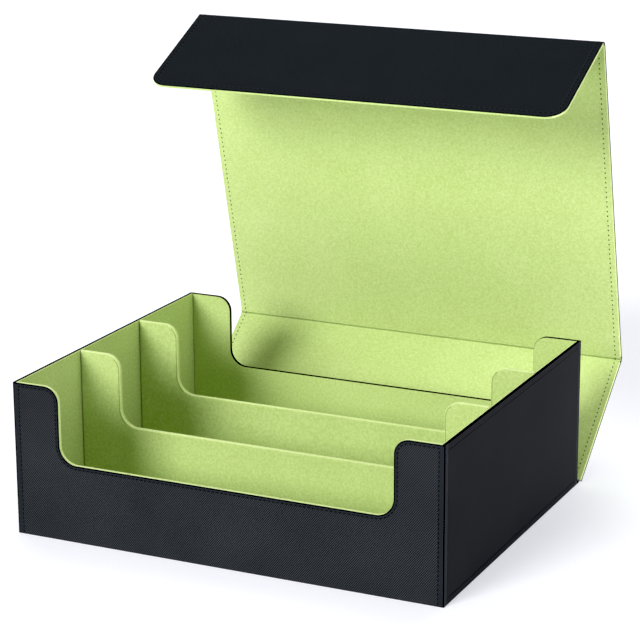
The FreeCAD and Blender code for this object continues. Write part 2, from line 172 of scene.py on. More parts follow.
class CoverSettings(bpy.types.PropertyGroup):
    """Sizes of the wrap-over cover"""
    leather: length("Leather", "Thickness of the cover's leather", 0.0005)
    board: length("Board", "Thickness of the cover's boards", 0.0015)
    suede: length("Suede", "Thickness of the cover's lining", 0.0005)
    board_rim: length("Board rim", "How far a board stays inside the cover's edge", 0.0010)
    lip: length("Leather lip", "Width of the leather turned up round the lining", 0.0004)
    lip_height: length("Lip height", "Height of that lip above the leather", 0.00015)
    leather_round: length("Leather rounding", "Rounding of the leather's edge", 0.0003)
    suede_round: length("Suede rounding", "Rounding of the lining's edge", 0.0004)
    hinge_setback: length("Hinge setback", "From the hinge line to the panel", 0.0015)
    top_setback: length("Top setback", "From the top fold line to its panels", 0.0032)
    flap_setback: length("Flap setback", "From the flap's fold line to its panels", 0.0040)
    flap_turn: angle("Flap turn", "Turn from the top panel to the flap", 101.7)
    flap_length: length("Flap length", "From the flap's fold line to its free edge", 0.0955)
    flap_radius: length("Flap rounding", "Rounding of the flap's free corners", 0.0145)
    rim: length("Rim", "Width of the black fold along a leather edge", 0.0003)
    hem: length("Hem", "Width of the band between an edge and its seam", 0.0039)
    seam_width: length("Seam groove", "Width of the groove that a seam pulls in", 0.0012)
    seam_depth: length("Seam depth", "Depth of the groove that a seam pulls in", 0.00018)
    flap_lip: length("Flap lip", "Width of suede seen round the flap's leather", 0.0003)
    crease_mouth: length("Crease mouth", "Half width of the top fold's crease", 0.0007)
    crease_dip: length("Crease dip", "Depth of the top fold's crease", 0.0014)
    fold_reach: length("Fold reach", "Strip of the top panel that bends with the flap", 0.0035)
    hem_fall: length("Hem fall", "How far the lining falls from its seam to the edge", 0.00025)
    stitch_pitch: length("Stitch pitch", "Distance from stitch to stitch", 0.0039)
    stitch_length: length("Stitch length", "Length of thread seen in a stitch", 0.0026)
    dot_length: length("Dot length", "Length of thread seen on the lining", 0.0013)
    thread: length("Thread", "Thickness of the thread", 0.0005)
    thread_spread: number("Thread spread", "Width of a pulled thread over its thickness", 2.6)
    dot_spread: number("Dot spread", "The same for a thread on the lining", 1.7)


class FinishSettings(bpy.types.PropertyGroup):
    """Colours and patterns of the materials"""
    twill_low: colour("Twill valley", "Leather between the ribs", (0.002, 0.002, 0.003))
    twill_high: colour("Twill rib", "Leather on the ribs", (0.058, 0.064, 0.071))
    twill_pitch: length("Twill pitch", "Distance from rib to rib", 0.00115)
    twill_lean: angle("Twill lean", "Slant of the ribs", 52.0)
    hem_leather: colour("Hem leather", "Leather outside the seam", (0.022, 0.025, 0.029))
    seam_leather: colour("Seam leather", "Leather in the seam", (0.024, 0.027, 0.031))
    side_leather: colour("Side leather", "Smooth leather", (0.0212, 0.0216, 0.0243))
    cover_low: colour("Cover valley", "Cover between the ribs", (0.0128, 0.015, 0.0166))
    cover_high: colour("Cover rib", "Cover on the ribs", (0.0267, 0.031, 0.0353))
    edge_paint: colour("Edge", "Leather on the folded edges", (0.002, 0.002, 0.003))
    suede_deep: colour("Suede deep", "Suede with its nap down", (0.468, 0.598, 0.200))
    suede_pale: colour("Suede pale", "Suede with its nap up", (0.600, 0.728, 0.308))
    crease_deep: colour("Crease deep", "Pressed suede, nap down", (0.200, 0.280, 0.050))
    crease_pale: colour("Crease pale", "Pressed suede, nap up", (0.280, 0.370, 0.080))
    edge_deep: colour("Suede edge deep", "Folded suede, nap down", (0.700, 0.850, 0.340))
    edge_pale: colour("Suede edge pale", "Folded suede, nap up", (0.820, 0.940, 0.450))
    black_thread: colour("Black thread", "Thread in the leather", (0.002, 0.002, 0.002))
    green_thread: colour("Green thread", "Thread in the suede", (0.030, 0.050, 0.006))
    board: colour("Board", "Grey board", (0.420, 0.410, 0.390))
    magnet: colour("Magnet", "Plated magnet", (0.620, 0.610, 0.580))


class StageSettings(bpy.types.PropertyGroup):
    """Floor, lights and camera"""
    key_place: spot("Key place", "Where the key light stands", (-0.28, -0.87, 0.40))
    key_power: number("Key light", "Strength of the key light", 2.85)
    key_spread: angle("Key spread", "Width of the key light", 26)
    fill_place: spot("Fill place", "Where the light on the right stands", (0.95, -0.12, 0.2))
    fill_power: number("Fill light", "Strength of the light on the right", 1.1)
    fill_spread: angle("Fill spread", "Width of the light on the right", 50)
    rear_place: spot("Rear place", "Where the light behind stands", (-0.35, 0.85, 0.45))
    rear_power: number("Rear light", "Strength of the light behind", 1.5)
    rear_spread: angle("Rear spread", "Width of the light behind", 80)
    top_place: spot("Top place", "Where the overhead light stands", (0.1, 0.0, 1.0))
    top_power: number("Top light", "Strength of the overhead light", 0.6)
    top_spread: angle("Top spread", "Width of the overhead light", 80)
    side_place: spot("Side lamp place", "Where the side lamp stands", (0.62, 0.10, 0.42))
    side_target: spot("Side lamp target", "The back panel's right end", (0.15, 0.20, 0.05))
    side_power: number("Side lamp", "Strength of the side lamp", 11.0)
    side_cone: angle("Side lamp cone", "Width of the side lamp's cone", 20)
    front_place: spot("Front lamp place", "Where the front lamp stands", (0.02, -0.8, 0.12))
    front_target: spot("Front lamp target", "Above the cover's top fold", (0.02, 0.17, 0.46))
    front_power: number("Front lamp", "Strength of the lamp under the flap", 12.0)
    front_cone: angle("Front lamp cone", "Width of the front lamp's cone", 34)
    lamp_blend: number("Lamp edge", "Share of a lamp's cone that fades", 0.8, subtype="FACTOR")
    lamp_size: length("Lamp size", "Size of a lamp, which softens its shadows", 0.1)
    sky: number("Sky", "Light from the white surroundings", 0.10)
    backdrop: number("Backdrop", "Brightness of the backdrop as seen", 1.1)
    floor: colour("Floor", "Colour of the floor", (0.72, 0.73, 0.76))
    floor_size: number("Floor size", "Width of the floor", 12.0, unit="LENGTH")
    floor_glow: colour("Floor glow", "Light that the floor gives off", (0.465, 0.465, 0.500))
    black_level: number("Black level", "Light that the picture shows as black", 0.015)
    camera_place: spot("Camera", "Place of the camera", (0.6905, -1.4242, 0.5926))
    camera_turn: angle("Camera turn", "Bearing of the camera from the front", 25.47)
    camera_rise: angle("Camera rise", "Height of the camera above the horizon", 15.97)
    camera_roll: angle("Camera roll", "Lean of the camera", -0.27)
    camera_lens: number("Lens", "Focal length in millimetres", 132.37, unit="CAMERA")


def tray():
    return bpy.context.scene.card_box_tray


def cover():
    return bpy.context.scene.card_box_cover


def finishes():
    return bpy.context.scene.card_box_finish


def stage():
    return bpy.context.scene.card_box_stage


def cutout_half():
    """Half the width of a wall's cut-out."""
    return SIDE - tray().post_width


# ------------------------------------------------------------------ modelling


def only(piece):
    """Leaves one object selected and active."""
    bpy.ops.object.select_all(action="DESELECT")
    piece.select_set(True)
    bpy.context.view_layer.objects.active = piece


def named(name):
    """Names the new object and applies its place."""
    piece = bpy.context.active_object
    piece.name = name
    piece.data.name = name
    bpy.ops.object.transform_apply(location=True, rotation=True, scale=True)
    return piece


def slab(name, *spans):
    """A rectangular block with its spans along X, Y and Z, each given either way round."""
    low, high = (Vector(corner) for corner in zip(*map(sorted, spans)))
    bpy.ops.object.select_all(action="DESELECT")
    bpy.ops.mesh.primitive_cube_add(size=1.0, location=(low + high) / 2, scale=high - low)
    return named(name)


def open_edit(piece):
    only(piece)
    bpy.ops.object.mode_set(mode="EDIT")
    bpy.ops.mesh.select_all(action="SELECT")


def close_edit():
    bpy.ops.object.mode_set(mode="OBJECT")


def pick(piece, kind, test):
    """Opens a piece for editing with only the edges or faces that pass the test selected."""
    only(piece)
    bpy.ops.object.mode_set(mode="EDIT")
    bpy.ops.mesh.select_mode(type=kind)
    bpy.ops.mesh.select_all(action="DESELECT")
    bpy.ops.object.mode_set(mode="OBJECT")
    mesh = piece.data
    if kind == "FACE":
        for face in mesh.polygons:
            face.select = test(face)
    else:
        for edge in mesh.edges:
            edge.select = test(*(mesh.vertices[index].co for index in edge.vertices))
    bpy.ops.object.mode_set(mode="EDIT")


def near(place, *others):
    """Tells whether every other place is the same as the first."""
    return all(abs(place - other) < CLOSE for other in others)


def broad(axis, way):
    """The test for a piece's main face, which looks one way along an axis."""
    return lambda face: face.normal[axis] * way > FACING and face.area > BROAD


def round_edges(piece, test, radius, segments):
    """Rounds the edges whose two ends pass the test."""
    pick(piece, "EDGE", test)
    bpy.ops.mesh.bevel(offset=radius, segments=segments, affect="EDGES", clamp_overlap=True)
    close_edit()


def modify(piece, kind, **settings):
    """Adds a modifier and applies it."""
    only(piece)
    bpy.ops.object.modifier_add(type=kind)
    modifier = piece.modifiers[-1]
    for key, setting in settings.items():
        setattr(modifier, key, setting)
    bpy.ops.object.modifier_apply(modifier=modifier.name)


def carve(piece, tool):
    """Takes a tool's shape out of a piece, and the tool away."""
    modify(piece, "BOOLEAN", operation="DIFFERENCE", solver="EXACT", object=tool)
    only(tool)
    bpy.ops.object.delete()
    only(piece)


def cut_off(piece, place, outward):
    """Cuts a piece off flat at a plane and closes it there."""
    open_edit(piece)
    bpy.ops.mesh.bisect(plane_co=place, plane_no=outward, use_fill=True, clear_outer=True)
    close_edit()


def close_holes(piece):
    """Closes what a cut through a bent sheet has left open."""
    pick(piece, "EDGE", lambda a, b: False)
    bpy.ops.mesh.select_non_manifold()
    bpy.ops.mesh.fill()
    bpy.ops.mesh.normals_make_consistent(inside=False)
    close_edit()


def notched(name, half, y_span, low, edge, trim=0.0):
    """A wall with a post at each end and a cut-out between, drawn back all round by trim."""
    sizes = tray()
    front, rear = y_span
    top, foot = TOP - trim, edge - trim
    post = cutout_half() + trim
    wall = slab(name, (-half, half), y_span, (low, top))
    opening = slab("opening", (-post, post), (front - BEYOND, rear + BEYOND),
                   (foot, top + BEYOND))
    round_edges(opening, lambda a, b: near(foot, a.z, b.z) and near(a.x, b.x),
                sizes.cutout_radius + trim, segments=12)
    carve(wall, opening)
    round_edges(wall, lambda a, b: near(post, abs(a.x)) and near(a.x, b.x)
                and near(top, a.z, b.z), sizes.post_radius - trim, segments=12)
    return wall


def tidy(piece):
    """Merges doubled points and turns every face outwards."""
    open_edit(piece)
    bpy.ops.mesh.remove_doubles(threshold=1e-6)
    bpy.ops.mesh.normals_make_consistent(inside=False)
    close_edit()


def smooth(piece):
    """Smooth roundings beside flat faces."""
    only(piece)
    bpy.ops.object.shade_smooth_by_angle(angle=SHARP)
    modify(piece, "WEIGHTED_NORMAL", keep_sharp=True)


def soften(piece, width):
    """Rounds every sharp edge of a piece a little."""
    modify(piece, "BEVEL", width=width, segments=3, limit_method="ANGLE", angle_limit=SHARP)


def sheet_map(piece):
    """The map that a woven pattern follows, in metres."""
    layers = piece.data.uv_layers
    return layers.get("Sheet") or layers.new(name="Sheet")


def lay_sheet(piece):
    """Lays the pattern's map over a piece, each face along its own two axes."""
    sheet = sheet_map(piece)
    for face in piece.data.polygons:
        size = [abs(part) for part in face.normal]
        axes = ((1, 2), (0, 2), (0, 1))[size.index(max(size))]
        for loop in face.loop_indices:
            place = piece.data.vertices[piece.data.loops[loop].vertex_index].co
            sheet.data[loop].uv = (place[axes[0]], place[axes[1]])


def settle(piece, place, tilt):
    """Turns a piece that was built flat and moves it to its fold line."""
    only(piece)
    piece.rotation_euler = (tilt, 0.0, 0.0)
    piece.location = (0.0, place.y, place.z)
    bpy.ops.object.transform_apply(location=True, rotation=True, scale=True)


def sink_seam(piece, test, rim, hem, width, depth):
    """Presses a seam round a face: a near-black ring of painted shade along the edge, a band, a
    groove of seam leather lightened as a painted highlight, and the field inside it.
    """
    pick(piece, "FACE", test)
    for reach, rise, index in ((rim, 0.0, 1), (hem, 0.0, 2), (width / 2, -depth, 3),
                               (width / 2, depth, 3)):
        piece.active_material_index = index
        bpy.ops.object.material_slot_assign()
        bpy.ops.mesh.inset(thickness=reach, depth=rise)
    piece.active_material_index = 0
    bpy.ops.object.material_slot_assign()
    close_edit()


# --------------------------------------------------------------------- seams


LYING = 0.6  # share of a stitch that lies flat on the sheet
DIVE = 0.3  # how far its ends go down, in thread thicknesses
TAPER = 0.6  # how thin they end


def rounded_path(corners):
    """Points along straight runs with rounded right-angled corners, each (point, radius)."""
    points = [Vector(corners[0][0])]
    for index in range(1, len(corners) - 1):
        here = Vector(corners[index][0])
        radius = corners[index][1]
        arriving = (here - Vector(corners[index - 1][0])).normalized()
        leaving = (Vector(corners[index + 1][0]) - here).normalized()
        centre = here - arriving * radius + leaving * radius
        steps = 10 if radius > 0 else 0
        for step in range(steps + 1):
            turn = math.pi / 2 * step / max(steps, 1)
            points.append(centre - leaving * radius * math.cos(turn)
                          + arriving * radius * math.sin(turn))
    points.append(Vector(corners[-1][0]))
    return points


def along(points, pitch):
    """Evenly spaced (place, direction) pairs along a path, half a pitch in from its ends."""
    runs = [(b - a).length for a, b in zip(points, points[1:])]
    count = max(1, round(sum(runs) / pitch))
    step = sum(runs) / count
    spots = []
    index = 0
    passed = 0.0
    for number_along in range(count):
        distance = (number_along + 0.5) * step
        while distance > passed + runs[index] and index < len(runs) - 1:
            passed += runs[index]
            index += 1
        way = (points[index + 1] - points[index]).normalized()
        spots.append((points[index] + way * (distance - passed), way))
    return spots


def one_stitch(span, thread, spread):
    """A stitch along X: a flattened, few-sided thread whose ends dive into the sheet."""
    bpy.ops.object.select_all(action="DESELECT")
    bpy.ops.mesh.primitive_cylinder_add(vertices=8, radius=thread / 2, depth=span * LYING,
                                        rotation=(0.0, math.pi / 2, 0.0))
    stitch = named("stitch")
    stitch.scale = (1.0, spread, 1.0)
    bpy.ops.object.transform_apply(location=False, rotation=False, scale=True)
    for way in (1, -1):
        pick(stitch, "FACE", lambda face: face.normal.x * way > FACING)
        bpy.ops.mesh.extrude_region_move(TRANSFORM_OT_translate={
            "value": (way * span * (1 - LYING) / 2, 0.0, -thread * DIVE)})
        bpy.ops.transform.resize(value=(TAPER, TAPER, TAPER))
        close_edit()
    return stitch


def stitch_row(name, spots, yarn, finish, slot):
    """One object of stitches: each spot is a place, the way along and the way up."""
    pattern = one_stitch(*yarn)
    copies = []
    for place, way, up in spots:
        turn = Matrix((way, up.cross(way), up)).transposed().to_4x4()
        mesh = pattern.data.copy()
        mesh.transform(Matrix.Translation(place) @ turn)
        copies.append(bpy.data.objects.new(name, mesh))
        bpy.context.scene.collection.objects.link(copies[-1])
    only(pattern)
    bpy.ops.object.delete()
    only(copies[0])
    for copy in copies:
        copy.select_set(True)
    bpy.ops.object.join()
    row = bpy.context.active_object
    row.name = name
    row.data.name = name
    bpy.ops.object.shade_smooth()
    dress(row, finish)
    return row


# ----------------------------------------------------------------- materials


def plug(tree, item, inputs):
    """Sets a node's inputs, each to a value or to another node's output."""
    for key, source in inputs.items():
        if isinstance(source, bpy.types.NodeSocket):
            tree.links.new(source, item.inputs[key])
        else:
            item.inputs[key].default_value = source


def add(tree, kind, inputs, **settings):
    item = tree.nodes.new(kind)
    for key, setting in settings.items():
        setattr(item, key, setting)
    plug(tree, item, inputs)
    return item


def maths(tree, operation, *values):
    return add(tree, "ShaderNodeMath", dict(enumerate(values)), operation=operation).outputs[0]


def between(tree, share, low, high):
    """A number between two, by a share from 0 to 1."""
    return add(tree, "ShaderNodeMapRange", {"Value": share, "To Min": low, "To Max": high}
               ).outputs["Result"]


def blend_colours(tree, share, low, high):
    """A colour between two, by a share from 0 to 1."""
    return add(tree, "ShaderNodeMix", {0: share, 6: (*low, 1.0), 7: (*high, 1.0)},
               data_type="RGBA").outputs[2]


def shades(tree, share, base, dark, light):
    """Darker and lighter shades of one colour."""
    return blend_colours(tree, share, [part * dark for part in base],
                         [part * light for part in base])


def noise(tree, scale, detail=2.0, roughness=0.5):
    place = add(tree, "ShaderNodeTexCoord", {}).outputs["Object"]
    return add(tree, "ShaderNodeTexNoise", {"Vector": place, "Scale": scale, "Detail": detail,
                                            "Roughness": roughness}).outputs["Fac"]


def bump(tree, height, distance):
    return add(tree, "ShaderNodeBump", {"Height": height, "Distance": distance}
               ).outputs["Normal"]


def begin(name):
    """A new material's node tree and its surface shader."""
    material = bpy.data.materials.new(name)
    material.use_nodes = True
    return material.node_tree, material.node_tree.nodes["Principled BSDF"]


def napped(name, deep, pale):
    """Short-napped suede with a fine mottle."""
    tree, shader = begin(name)
    clouds = noise(tree, 30.0)
    mottle = noise(tree, 560.0, 3.0, 0.7)
    fibre = noise(tree, 1900.0, 2.0, 0.6)
    share = maths(tree, "MULTIPLY_ADD", mottle, 2.6, -0.8)
    share = maths(tree, "MULTIPLY_ADD", clouds, 0.5, maths(tree, "SUBTRACT", share, 0.25))
    share = maths(tree, "MULTIPLY_ADD", fibre, 1.4, maths(tree, "SUBTRACT", share, 0.7))
    share = add(tree, "ShaderNodeClamp", {"Value": share}).outputs[0]
    plug(tree, shader, {
        "Base Color": blend_colours(tree, share, deep, pale), "Roughness": 0.95,
        "Specular IOR Level": 0.15, "Sheen Weight": 0.12, "Sheen Roughness": 0.45,
        "Normal": bump(tree, maths(tree, "MULTIPLY_ADD", fibre, 0.5, mottle), 0.00025)})


def twill(name, low, high, relief, shine):
    """Leather pressed with fine slanting ribs, broken along their length like a weave."""
    tree, shader = begin(name)
    sheet = add(tree, "ShaderNodeUVMap", {}, uv_map="Sheet").outputs["UV"]
    lean, pitch = finishes().twill_lean, finishes().twill_pitch
    right, rise = math.cos(lean) / pitch, math.sin(lean) / pitch
    across, down = (
        add(tree, "ShaderNodeVectorMath", {0: sheet, 1: way}, operation="DOT_PRODUCT"
            ).outputs["Value"] for way in ((rise, -right, 0.0), (right, rise, 0.0)))
    rib = maths(tree, "MULTIPLY", maths(tree, "PINGPONG", across, 0.5), 2.0)
    rib = add(tree, "ShaderNodeMapRange", {"Value": rib}, interpolation_type="SMOOTHSTEP"
              ).outputs["Result"]
    stagger = maths(tree, "MULTIPLY_ADD", maths(tree, "FLOOR", across), 0.5, down)
    weave = maths(tree, "MULTIPLY", maths(tree, "PINGPONG", stagger, 0.5), 2.0)
    share = maths(tree, "MULTIPLY", rib, maths(tree, "MULTIPLY_ADD", weave, 0.35, 0.65))
    grain = noise(tree, 2200.0, 2.0, 0.6)
    tone = maths(tree, "MULTIPLY_ADD", noise(tree, 25.0), 0.5, 0.5)
    tone = maths(tree, "MULTIPLY", share, maths(tree, "MULTIPLY_ADD", grain, 0.5, tone))
    plug(tree, shader, {
        "Base Color": blend_colours(tree, tone, low, high), "Specular IOR Level": shine,
        "Roughness": between(tree, grain, 0.52, 0.68),
        "Normal": bump(tree, maths(tree, "MULTIPLY_ADD", grain, 0.3, share), relief)})


def grained(name, base):
    """Leather with only a fine grain."""
    tree, shader = begin(name)
    grain = noise(tree, 1500.0, 3.0, 0.6)
    share = maths(tree, "MULTIPLY_ADD", noise(tree, 20.0), 0.5,
                  maths(tree, "MULTIPLY", grain, 0.5))
    plug(tree, shader, {
        "Base Color": shades(tree, share, base, 0.7, 1.3), "Specular IOR Level": 0.03,
        "Roughness": between(tree, grain, 0.5, 0.66), "Normal": bump(tree, grain, 0.00005)})


def flecked(name, base, texture, shade_range, roughness, specular, relief):
    """A dull surface with fine flecks: a leather edge darkened as painted shade, thread or
    pressed board.
    """
    tree, shader = begin(name)
    flecks = noise(tree, *texture)
    plug(tree, shader, {
        "Base Color": shades(tree, flecks, base, *shade_range), "Roughness": roughness,
        "Specular IOR Level": specular, "Normal": bump(tree, flecks, relief)})


def plated(name, base):
    """Nickel plate with faint scuffs."""
    tree, shader = begin(name)
    scuffs = noise(tree, 900.0, 3.0, 0.7)
    plug(tree, shader, {
        "Base Color": shades(tree, scuffs, base, 0.9, 1.0), "Metallic": 1.0,
        "Roughness": between(tree, scuffs, 0.2, 0.38)})


# How each material is made: by which function, from which colours and numbers.
RECIPES = {
    "green_microsuede": (napped, "suede_deep", "suede_pale"),
    # Paler suede: a painted highlight on the linings' tops and edges.
    "folded_microsuede": (napped, "edge_deep", "edge_pale"),
    # Darker suede: painted shade in the top fold's crease and at the posts' edges.
    "pressed_microsuede": (napped, "crease_deep", "crease_pale"),
    "twill_leather": (twill, "twill_low", "twill_high", 0.00012, 0.08),
    "cover_leather": (twill, "cover_low", "cover_high", 0.00006, 0.02),
    "smooth_leather": (grained, "side_leather"),
    "hem_leather": (grained, "hem_leather"),
    # Smooth leather in the seam's groove, lightened as a painted highlight on the groove.
    "seam_leather": (grained, "seam_leather"),
    # Near-black and almost without shine: painted shade on the leather's rolled edges.
    "edge_leather": (flecked, "edge_paint", (1800.0,), (0.6, 1.6), 0.8, 0.004, 0.00002),
    "black_thread": (flecked, "black_thread", (4000.0,), (0.5, 1.5), 0.8, 0.2, 0.00005),
    "green_thread": (flecked, "green_thread", (4000.0,), (0.5, 1.5), 0.8, 0.2, 0.00005),
    "pressed_grey_board": (flecked, "board", (600.0, 4.0, 0.7), (0.8, 1.2), 0.9, 0.5, 0.0001),
    "nickel_plate": (plated, "magnet"),
}


def finish(name):
    """A material by its name, made the first time that it is asked for."""
    if name not in bpy.data.materials:
        make, *details = RECIPES[name]
        make(name, *(getattr(finishes(), detail) if isinstance(detail, str) else detail
                     for detail in details))
    return bpy.data.materials[name]


def coat(piece, *names):
    """Gives a piece its finishes, the first of them everywhere."""
    piece.data.materials.clear()
    for name in names:
        piece.data.materials.append(finish(name))


def paint(piece, name, test):
    """Gives the faces that pass the test another finish."""
    if name not in piece.data.materials:
        piece.data.materials.append(finish(name))
    index = piece.data.materials.find(name)
    for face in piece.data.polygons:
        if test(face):
            face.material_index = index


def dress(piece, name, nodes=()):
    """Gives a piece its finish, and hides the frame's solids that it stands for."""
    if name not in piece.data.materials:
        coat(piece, name)
    if nodes:
        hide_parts(*nodes)


# ------------------------------------------------------------------ the tray


def tray_piece(piece, body, name, nodes):
    """Closes a piece, finishes it and lets it ride on its body."""
    tidy(piece)
    lay_sheet(piece)
    smooth(piece)
    dress(piece, name, nodes)
    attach(piece, body)


def leather_piece(piece, body, name, *nodes):
    tray_piece(piece, body, name, nodes)


def suede_piece(piece, body, *nodes):
    tray_piece(piece, body, "green_microsuede", nodes)


class CARDBOX_OT_front_wall(bpy.types.Operator):
    """Front wall: leather with a stitched hem, and suede folded over its edge"""
    bl_idname = "cardbox.front_wall"
    bl_label = "Front wall"

    def execute(self, context):
        self.skin()
        self.lining()
        self.seam()
        return {"FINISHED"}

    def skin(self):
        sizes = tray()
        half = SIDE - sizes.corner_fold
        board_half = SIDE_BOARD_OUT - sizes.corner_fold
        skin = notched("front_leather", half, (-END, -WRAP_END), -OVERRUN / 2, sizes.low_edge)
        carve(skin, slab("inside", (-board_half, board_half),
                         (-END_BOARD_OUT, BEYOND - WRAP_END), (-OVERRUN, TOP + BEYOND)))
        soften(skin, sizes.softness)
        # The second finish is near-black painted shade for the rolled edge; the fourth, lighter
        # leather in the groove, is a painted highlight.
        coat(skin, "twill_leather", "edge_leather", "hem_leather", "seam_leather")
        sink_seam(skin, broad(1, -1), sizes.rim, sizes.hem, sizes.seam_width, sizes.seam_depth)
        beyond = half - sizes.softness - sizes.rim - 5 * CLOSE
        for side in (-1, 1):
            pick(skin, "EDGE", lambda a, b: min(side * a.x, side * b.x) > beyond)
            bpy.ops.transform.translate(value=(side * sizes.corner_fold, 0.0, 0.0))
            close_edit()
        cut_off(skin, (0, 0, LEATHER), (0, 0, -1))
        close_holes(skin)
        leather_piece(skin, "tray", "twill_leather", "front_skin")
        # Painted shade: the rounded faces along the leather's edge are near-black.
        paint(skin, "edge_leather", lambda face: face.normal.y > -MOSTLY and face.area < NARROW
              and face.center.y < -END + sizes.softness)

    def lining(self):
        sizes = tray()
        lining = notched("front_wall_suede", SIDE_BOARD_OUT, (-END_BOARD_OUT, -END_IN),
                         FLOOR, sizes.low_edge)
        soften(lining, sizes.leather_round)
        carve(lining, notched("board", SIDE_BOARD_OUT + BEYOND,
                              (-END_BOARD_OUT - BEYOND, -END_BOARD_IN), FLOOR - BEYOND,
                              sizes.low_edge, trim=SUEDE))
        for side in (-1, 1):
            for inner, y_span in ((SIDE_BOARD_IN, (-END_BOARD_IN, 0)),
                                  (RIM_IN - sizes.rim_spread, (-END, -END_BOARD_IN))):
                carve(lining, slab("spare", (side * inner, side * (SIDE_BOARD_OUT + BEYOND)),
                                   y_span, (-BEYOND, TOP + BEYOND)))
        suede_piece(lining, "tray", "front_lining")
        # Painted highlight: the suede's edges over the board are a paler copy.
        paint(lining, "folded_microsuede", lambda face: abs(face.normal.y) < MOSTLY
              and face.center.z > FLOOR + MM and abs(face.center.x) < SIDE_BOARD_IN)

    def seam(self):
        sizes = tray()
        inset = sizes.softness + sizes.rim + sizes.hem + sizes.seam_width / 2
        face = -END + sizes.seam_depth
        left, top = SIDE - inset - sizes.corner_fold, TOP - inset
        post, low = cutout_half() + inset, sizes.low_edge - inset
        head, foot = sizes.post_radius - inset, sizes.cutout_radius + inset
        half = [(left, LEATHER, 0), (left, top, 0), (post, top, head), (post, low, foot)]
        corners = [((-x, face, z), radius) for x, z, radius in half]
        corners += [((x, face, z), radius) for x, z, radius in reversed(half)]
        spots = [(place, way, Vector((0, -1, 0)))
                 for place, way in along(rounded_path(corners), sizes.stitch_pitch)]
        row = stitch_row("front_wall_stitching", spots,
                         (sizes.stitch_length, sizes.thread, sizes.thread_spread),
                         "black_thread", "black_leather")
        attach(row, "tray")


class CARDBOX_OT_back_wall(bpy.types.Operator):
    """Back wall: leather folded over its edge, and the suede inside it"""
    bl_idname = "cardbox.back_wall"
    bl_label = "Back wall"

    def execute(self, context):
        sizes = tray()
        skin = notched("back_leather", SIDE, (WRAP_END, END), LEATHER, sizes.low_edge)
        carve(skin, slab("inside", (-SIDE_BOARD_OUT, SIDE_BOARD_OUT),
                         (WRAP_END - BEYOND, END_BOARD_IN), (-BEYOND, TOP + BEYOND)))
        soften(skin, sizes.leather_round)
        carve(skin, notched("board", SIDE_BOARD_OUT, (END_BOARD_IN - HOLLOW, END_BOARD_OUT),
                            -BEYOND, sizes.low_edge, trim=SUEDE))
        leather_piece(skin, "tray", "twill_leather", "back_skin")
        # Painted shade: the leather's edges over the board are near-black.
        paint(skin, "edge_leather", lambda face: face.normal.y < MOSTLY and face.area < NARROW
              and face.center.y > END_BOARD_IN)
        lining = notched("back_wall_suede", SIDE_IN - sizes.end_gap, (END_IN, END_BOARD_IN),
                         FLOOR, sizes.low_edge, trim=sizes.back_drop)
        soften(lining, sizes.suede_round)
        suede_piece(lining, "tray", "back_lining")
        return {"FINISHED"}


class CARDBOX_OT_side_walls(bpy.types.Operator):
    """Side walls: a leather patch, the leather rim over the top, and the suede inside"""
    bl_idname = "cardbox.side_walls"
    bl_label = "Side walls"

    def execute(self, context):
        for name, side in (("left", -1), ("right", 1)):
            self.patch(name, side)
            self.rim(name, side)
            self.lining(name, side)
        return {"FINISHED"}

    def patch(self, name, side):
        sizes = tray()
        spread = sizes.patch_spread
        patch = slab(f"{name}_side_leather", (side * SIDE_BOARD_OUT, side * SIDE),
                     (-PATCH_END - spread, PATCH_END + spread),
                     (PATCH_LOW - spread, PATCH_TOP + spread))
        round_edges(patch, lambda a, b: near(SIDE, abs(a.x), abs(b.x)),
                    sizes.patch_round, segments=4)
        leather_piece(patch, "tray", "smooth_leather", f"{name}_side_skin")

    def rim(self, name, side):
        sizes = tray()
        inner = RIM_IN - sizes.rim_spread
        rim = slab(f"{name}_rim_leather", (side * inner, side * SIDE),
                   (-END_BOARD_OUT, END_BOARD_IN), (RIM_LOW, TOP))
        carve(rim, slab("under", (side * (inner - BEYOND), side * SIDE_BOARD_OUT),
                        (-END, END), (0.0, TOP - LEATHER)))
        for end in (-1, 1):
            carve(rim, slab("spare", (side * SIDE_BOARD_OUT, side * (SIDE + BEYOND)),
                            (end * WRAP_END, end * END), (0.0, TOP + BEYOND)))
        soften(rim, sizes.leather_round)
        leather_piece(rim, "tray", "smooth_leather", f"{name}_top_binding")
        # Painted shade: the rim's top is near-black.
        paint(rim, "edge_leather", lambda face: face.normal.z > 0.5)

    def lining(self, name, side):
        sizes = tray()
        lining = slab(f"{name}_wall_suede", (side * SIDE_IN, side * (RIM_IN - sizes.rim_spread)),
                      (sizes.end_gap - END_IN, END_BOARD_IN), (FLOOR, TOP))
        round_edges(lining, lambda a, b: near(SIDE_IN, abs(a.x)) and near(a.x, b.x)
                    and not near(END_BOARD_IN, a.y) and not near(END_BOARD_IN, b.y),
                    sizes.end_round, segments=4)
        round_edges(lining, lambda a, b: near(SIDE_IN, abs(a.x)) and near(a.x, b.x)
                    and near(TOP, a.z, b.z), sizes.end_round, segments=4)
        carve(lining, slab("under", (side * SIDE_BOARD_IN, side * (RIM_IN + BEYOND)),
                           (-END, END), (0.0, TOP - SUEDE)))
        suede_piece(lining, "tray", f"{name}_lining")
        # Painted highlight: the suede's top is a paler copy.
        paint(lining, "folded_microsuede",
              lambda face: face.normal.z > 0.3 and face.center.z > TOP - MM)


